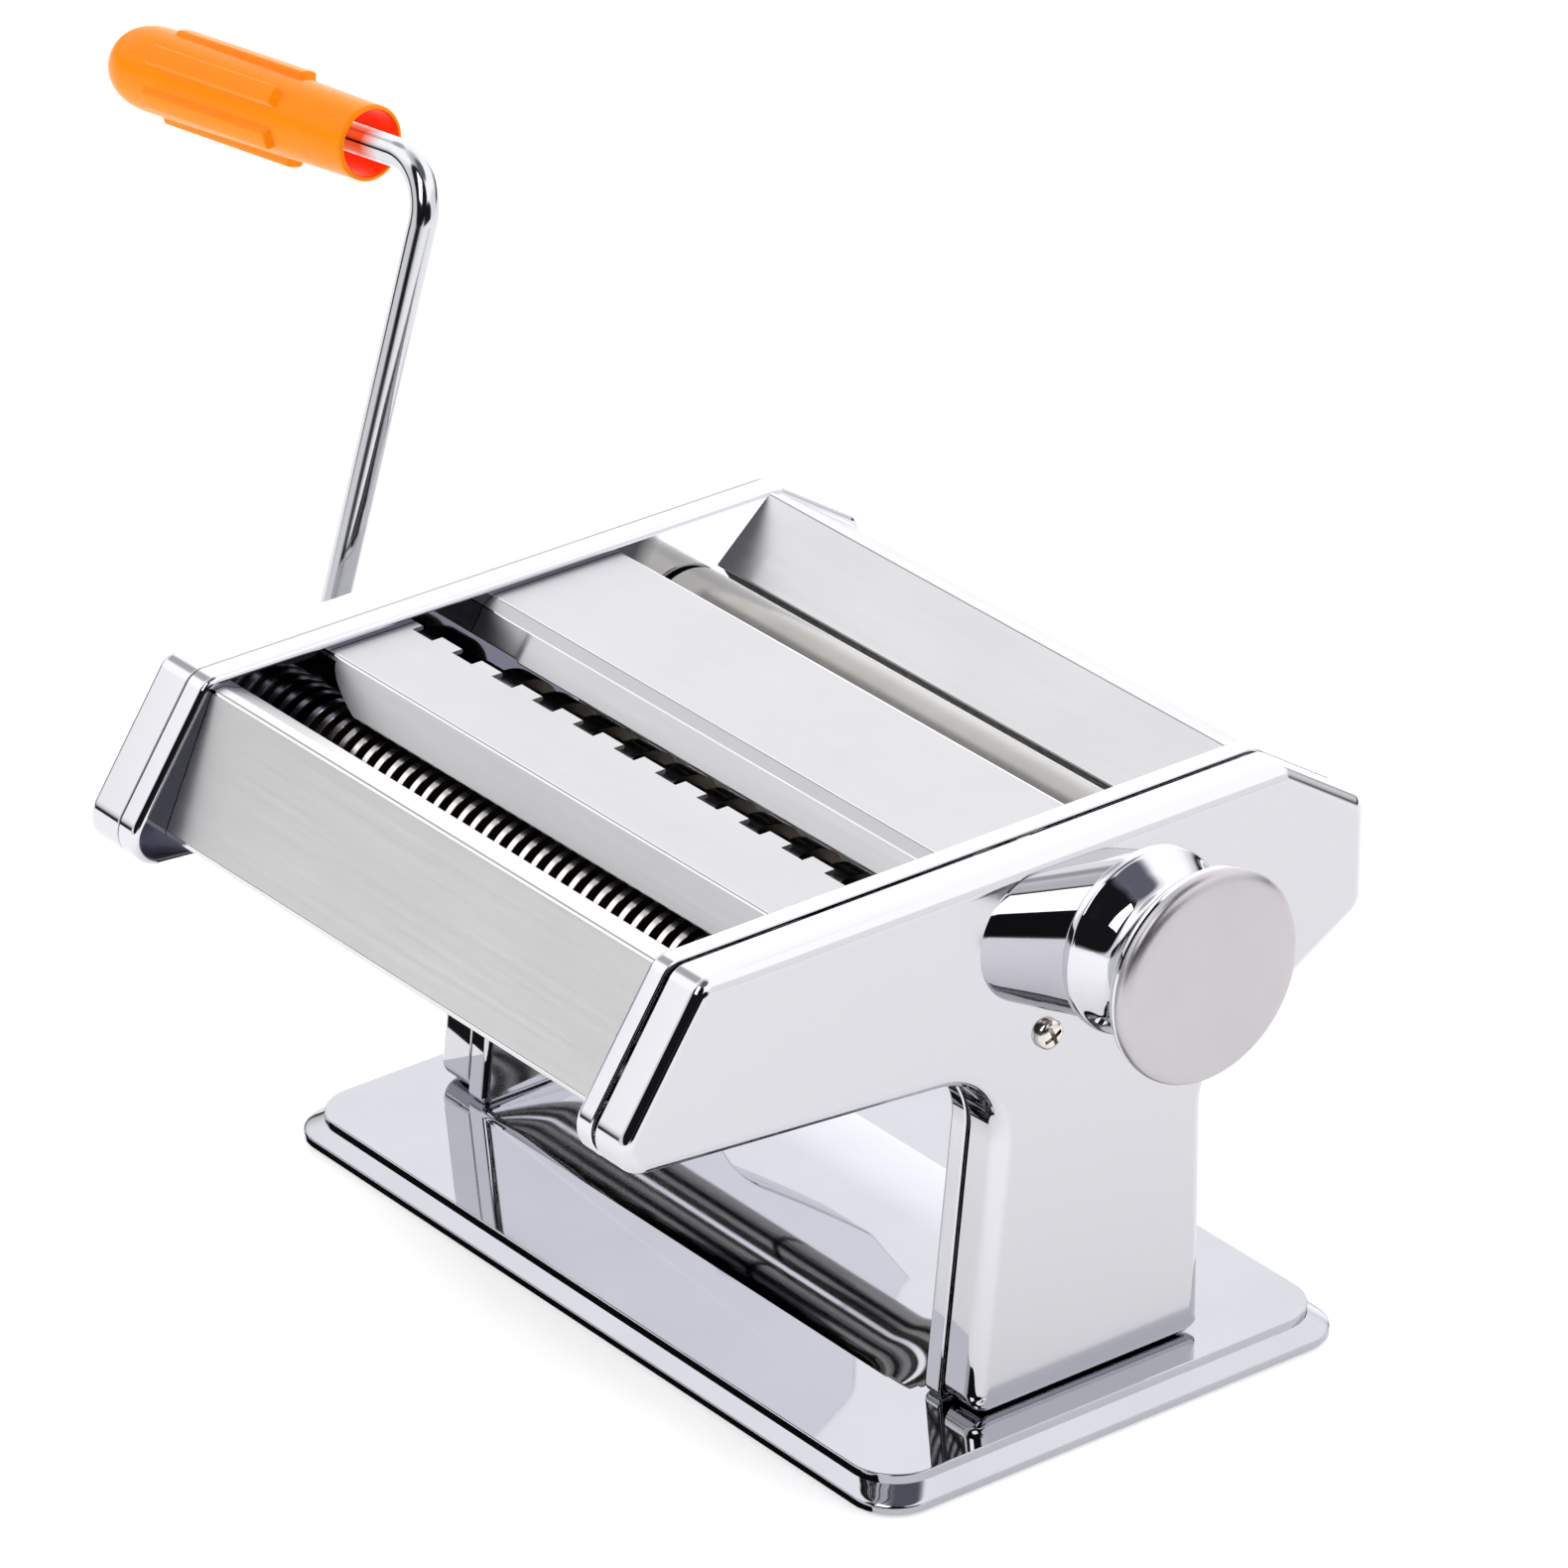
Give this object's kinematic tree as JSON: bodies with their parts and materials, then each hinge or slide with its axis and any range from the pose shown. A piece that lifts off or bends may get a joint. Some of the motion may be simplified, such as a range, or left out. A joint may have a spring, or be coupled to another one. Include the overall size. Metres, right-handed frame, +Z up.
{
  "type": "pasta roller machine",
  "caption": "Hand-cranked pasta roller with chromed cheeks on a flat base, smooth rollers set by a side knob, two grooved cutter pairs and a plug-in crank with a plastic grip.",
  "frame": {"origin": "centre of the base on the plane of the rubber feet, within about a millimetre of the base rim's underside", "axes": "+X along the rollers from the crank side to the knob side, +Y to the back (hopper side), +Z up"},
  "size_m": [0.345, 0.1914, 0.2194],
  "materials": {
    "mirror_chrome": "mirror polished",
    "polished_sheet": "polished sheet",
    "roll_steel": "polished",
    "satin_cap": "satin",
    "zinc_hardware": "zinc plated",
    "screw_nickel": "nickel plated",
    "gear_steel": "machined",
    "nylon": "moulded black",
    "foot_rubber": "matte",
    "orange_grip": "glossy"
  },
  "bodies": {
    "frame": {"base_plate": "mirror_chrome", "rubber_feet": "foot_rubber", "base_screws": "zinc_hardware", "base_nuts": "zinc_hardware", "left_inner_cheek": "mirror_chrome", "right_inner_cheek": "mirror_chrome", "left_cover": "mirror_chrome", "right_cover": "mirror_chrome", "front_panel": "polished_sheet", "cutter_guard": "polished_sheet", "top_panel": "polished_sheet", "hopper_panel": "polished_sheet", "tie_rods": "zinc_hardware", "tie_nuts": "zinc_hardware", "bushes": "nylon", "narrow_scrapers": "nylon", "wide_scrapers": "nylon", "roller_scrapers": "nylon", "shaft_bracket": "zinc_hardware", "cover_post": "zinc_hardware", "cover_screws": "screw_nickel", "knob_boss": "mirror_chrome"},
    "narrow_front": {"narrow_front_cutter": "roll_steel", "narrow_front_gear": "gear_steel"},
    "narrow_rear": {"narrow_rear_cutter": "roll_steel", "narrow_rear_gear": "gear_steel"},
    "crank": {"wide_front_cutter": "roll_steel", "wide_front_gear": "gear_steel", "crank_rod": "mirror_chrome", "crank_drive_pin": "zinc_hardware", "grip_washer": "zinc_hardware"},
    "wide_rear": {"wide_rear_cutter": "roll_steel", "wide_rear_gear": "gear_steel"},
    "handle_grip": {"grip": "orange_grip"},
    "rear_roll": {"rear_roller": "roll_steel", "rear_roller_gear": "gear_steel"},
    "knob_shaft": {"eccentric_shaft": "roll_steel", "knob_washer": "zinc_hardware", "knob_screw": "zinc_hardware", "knob_spring": "zinc_hardware"},
    "knob": {"knob_body": "mirror_chrome", "knob_cap": "satin_cap", "index_pin": "zinc_hardware", "knob_grub_screw": "zinc_hardware"},
    "sleeve": {"roller_sleeve": "gear_steel"},
    "front_roll": {"front_roller": "roll_steel", "front_roller_gear": "gear_steel"}
  },
  "joints": [
    {"name": "crank_turn", "type": "hinge", "parent": "frame", "child": "crank", "pos_m": [0, -0.0476, 0.1066], "axis": [1, 0, 0], "continuous": true},
    {"name": "grip_spin", "type": "hinge", "parent": "crank", "child": "handle_grip", "pos_m": [-0.12837, -0.01596, 0.2112], "axis": [-0.994, -0.0318, -0.105], "continuous": true},
    {"name": "wide_rear_turn", "type": "hinge", "parent": "frame", "child": "wide_rear", "pos_m": [0, -0.0296, 0.1066], "axis": [1, 0, 0], "continuous": true},
    {"name": "narrow_front_turn", "type": "hinge", "parent": "frame", "child": "narrow_front", "pos_m": [0, -0.0864, 0.1084], "axis": [1, 0, 0], "continuous": true},
    {"name": "narrow_rear_turn", "type": "hinge", "parent": "frame", "child": "narrow_rear", "pos_m": [0, -0.0684, 0.1084], "axis": [1, 0, 0], "continuous": true},
    {"name": "rear_roller_turn", "type": "hinge", "parent": "frame", "child": "rear_roll", "pos_m": [0, 0.0256, 0.1082], "axis": [1, 0, 0], "continuous": true},
    {"name": "knob_turn", "type": "hinge", "parent": "frame", "child": "knob_shaft", "pos_m": [0, 0.00073, 0.11498], "axis": [1, 0, 0], "range_deg": [0, 120]},
    {"name": "knob_pull", "type": "slide", "parent": "knob_shaft", "child": "knob", "axis": [1, 0, 0], "range_m": [0, 0.0042], "stiffness_N_per_m": 1500, "springref_m": -0.002, "deforming": ["knob_spring"]},
    {"name": "sleeve_turn", "type": "hinge", "parent": "knob_shaft", "child": "sleeve", "pos_m": [0, -0.00064, 0.11455], "axis": [1, 0, 0], "range_deg": [-120, 0]},
    {"name": "front_roller_turn", "type": "hinge", "parent": "sleeve", "child": "front_roll", "pos_m": [0, -0.00064, 0.11455], "axis": [1, 0, 0], "continuous": true}
  ],
  "couplings": [
    {"joint": "wide_rear_turn", "follows": "crank_turn", "ratio": -1},
    {"joint": "narrow_rear_turn", "follows": "narrow_front_turn", "ratio": -1},
    {"joint": "front_roller_turn", "follows": "rear_roller_turn", "ratio": -1},
    {"joint": "sleeve_turn", "follows": "knob_turn", "ratio": -1}
  ]
}
